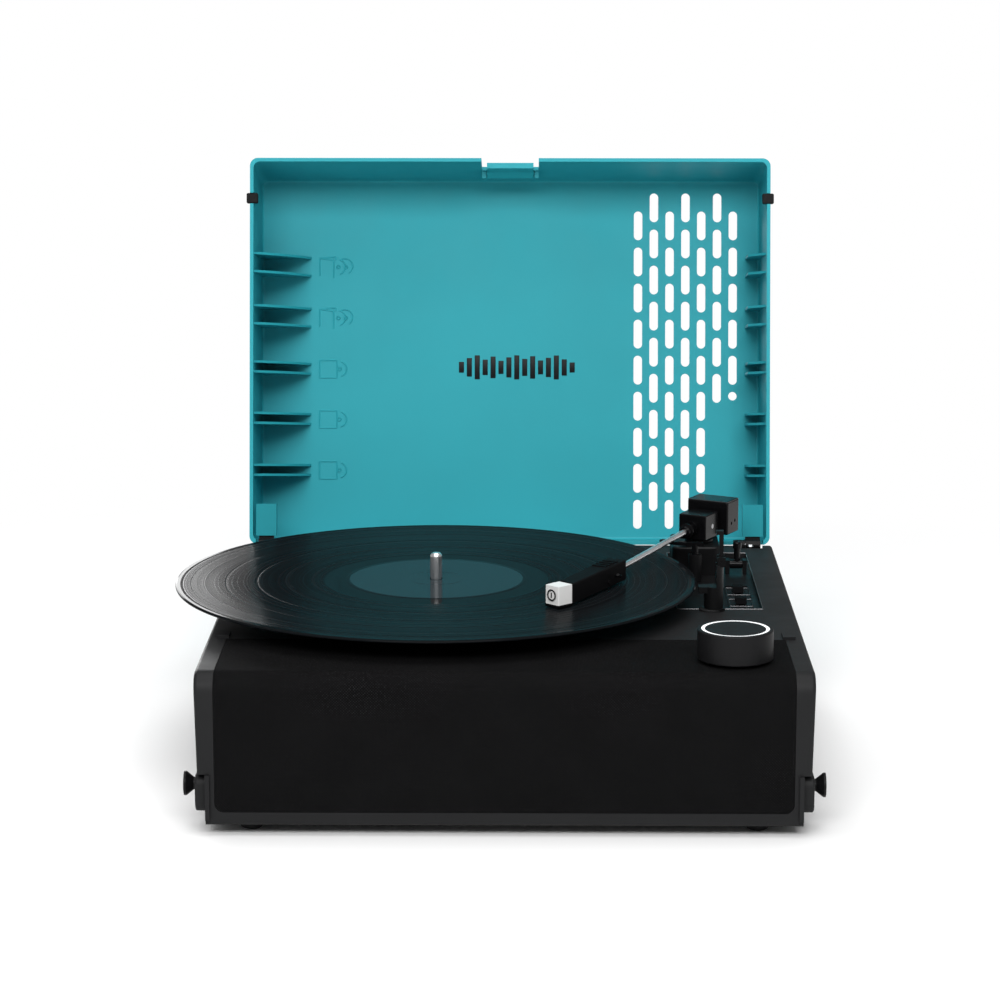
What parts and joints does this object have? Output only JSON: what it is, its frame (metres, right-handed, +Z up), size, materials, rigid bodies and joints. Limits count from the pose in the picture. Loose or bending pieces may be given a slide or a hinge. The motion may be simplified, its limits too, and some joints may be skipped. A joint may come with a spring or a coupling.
{
  "type": "suitcase record player",
  "caption": "Portable record player: cloth-fronted speaker case, platter with a long-playing record, straight tonearm, volume knob and a lift-off lid that stands open.",
  "frame": {"origin": "centre of the case's footprint, on the surface that its feet stand on", "axes": "+X to the player's right, -Y out of the speaker front, +Z up"},
  "size_m": [0.364, 0.4256, 0.3273],
  "materials": {
    "charcoal_plastic": "fine moulded texture, satin",
    "black_plastic": "satin black moulding",
    "gloss_black": "polished black",
    "teal_plastic": "fine moulded texture, satin",
    "grille_fabric": "tight woven speaker cloth",
    "baffle_board": "raw moulding",
    "vinyl": "glossy grooved vinyl",
    "mat_rubber": "matt",
    "foot_rubber": "matt",
    "steel": "brushed",
    "chrome": "polished",
    "white_plastic": "satin white moulding",
    "stylus_tip": "dark stylus carrier",
    "light_ring": "lit white ring",
    "paper_cone": "pressed paper cone",
    "magnet": "plain ferrite",
    "board": "solder mask",
    "battery_wrap": "shrink wrap",
    "belt_rubber": "matt",
    "brass": "turned",
    "line_jack": "plated shell"
  },
  "bodies": {
    "base": {"top_case": "charcoal_plastic", "bottom_cover": "charcoal_plastic", "case_screws": "steel", "feet": "foot_rubber", "grille_panel": "baffle_board", "grille_cloth": "grille_fabric", "speaker_baskets": "steel", "speaker_cones": "paper_cone", "speaker_magnets": "magnet", "battery_pack": "battery_wrap", "main_board": "board", "jack_panel": "black_plastic", "line_out_jacks": "line_jack", "audio_jacks": "gloss_black", "power_jack": "gloss_black", "bearing_sleeve": "brass", "motor_bracket": "steel", "motor": "steel", "drive_belt": "belt_rubber", "tonearm_plate": "black_plastic", "tonearm_pedestal": "black_plastic", "armrest_post": "black_plastic", "cue_housing": "black_plastic", "speed_switch": "black_plastic", "auto_stop_switch": "black_plastic", "knob_encoder": "steel", "strap_lugs": "charcoal_plastic", "strap_buttons": "black_plastic", "hinge_brackets": "black_plastic", "hinge_pins": "steel", "lid_catch": "black_plastic"},
    "lid_hinges": {"hinge_leaves": "black_plastic"},
    "lid": {"lid_shell": "teal_plastic", "lid_sockets": "black_plastic", "lid_bumpers": "mat_rubber"},
    "latch": {"lid_latch": "teal_plastic"},
    "turntable": {"platter": "black_plastic", "platter_mat": "mat_rubber", "spindle": "chrome", "record": "vinyl"},
    "motor_shaft": {"motor_pulley": "brass"},
    "arm_swivel": {"arm_yoke": "black_plastic"},
    "tonearm": {"arm_block": "gloss_black", "arm_pivot_pin": "steel", "arm_ferrule": "gloss_black", "arm_tube": "chrome", "headshell": "gloss_black", "cartridge": "white_plastic", "stylus": "stylus_tip", "counterweight": "gloss_black"},
    "clip": {"arm_clip": "black_plastic"},
    "cue_platform": {"cue_lift": "gloss_black"},
    "cue_handle": {"cue_lever": "black_plastic"},
    "speed_knob": {"speed_slider": "black_plastic"},
    "auto_stop_knob": {"auto_stop_slider": "black_plastic"},
    "knob_push": {"knob_hub": "black_plastic"},
    "knob": {"knob_shell": "charcoal_plastic", "light_ring": "light_ring", "knob_cap": "charcoal_plastic"}
  },
  "joints": [
    {"name": "lid_hinge", "type": "hinge", "parent": "base", "child": "lid_hinges", "pos_m": [0, 0.1624, 0.0893], "axis": [1, 0, 0], "range_deg": [0, 86]},
    {"name": "lid_lift_off", "type": "slide", "parent": "lid_hinges", "child": "lid", "axis": [0, -0.1908, -0.9816], "range_m": [-0.025, 0]},
    {"name": "lid_latch_flex", "type": "hinge", "parent": "lid", "child": "latch", "pos_m": [0, 0.23553, 0.31353], "axis": [1, 0, 0], "range_deg": [0, 4.5], "stiffness_Nm_per_rad": 0.2},
    {"name": "platter_spin", "type": "hinge", "parent": "base", "child": "turntable", "pos_m": [-0.0412, 0.011, 0.09], "axis": [0, 0, 1], "continuous": true},
    {"name": "motor_spin", "type": "hinge", "parent": "base", "child": "motor_shaft", "pos_m": [-0.0922, 0.062, 0.09], "axis": [0, 0, 1], "continuous": true},
    {"name": "tonearm_swing", "type": "hinge", "parent": "base", "child": "arm_swivel", "pos_m": [0.116, 0.106, 0.1], "axis": [0, 0, 1], "range_deg": [-14, 25.7]},
    {"name": "tonearm_lift", "type": "hinge", "parent": "arm_swivel", "child": "tonearm", "pos_m": [0.116, 0.106, 0.114], "axis": [0.8857, -0.4643, 0], "range_deg": [-4, 0]},
    {"name": "cue_lever_turn", "type": "hinge", "parent": "base", "child": "cue_handle", "pos_m": [0.138, 0.095, 0.092], "axis": [1, 0, 0], "range_deg": [-45, 0]},
    {"name": "cue_rise", "type": "slide", "parent": "base", "child": "cue_platform", "axis": [0, 0, 1], "range_m": [0, 0.0024]},
    {"name": "arm_clip_turn", "type": "hinge", "parent": "base", "child": "clip", "pos_m": [0.1226, -0.012, 0.1186], "axis": [0, -1, 0], "range_deg": [0, 90]},
    {"name": "speed_select", "type": "slide", "parent": "base", "child": "speed_knob", "axis": [0, 1, 0], "range_m": [-0.003, 0.003]},
    {"name": "auto_stop_select", "type": "slide", "parent": "base", "child": "auto_stop_knob", "axis": [0, 1, 0], "range_m": [-0.003, 0.003]},
    {"name": "knob_press", "type": "slide", "parent": "base", "child": "knob_push", "axis": [0, 0, -1], "range_m": [0, 0.0012], "stiffness_N_per_m": 300},
    {"name": "knob_turn", "type": "hinge", "parent": "knob_push", "child": "knob", "pos_m": [0.1237, -0.13, 0.1], "axis": [0, 0, 1], "continuous": true}
  ],
  "couplings": [
    {"joint": "motor_spin", "follows": "platter_spin", "ratio": 9.1667},
    {"joint": "cue_lever_turn", "follows": "tonearm_lift", "ratio": 11.25},
    {"joint": "cue_rise", "follows": "tonearm_lift", "m_per_rad": -0.034377}
  ]
}
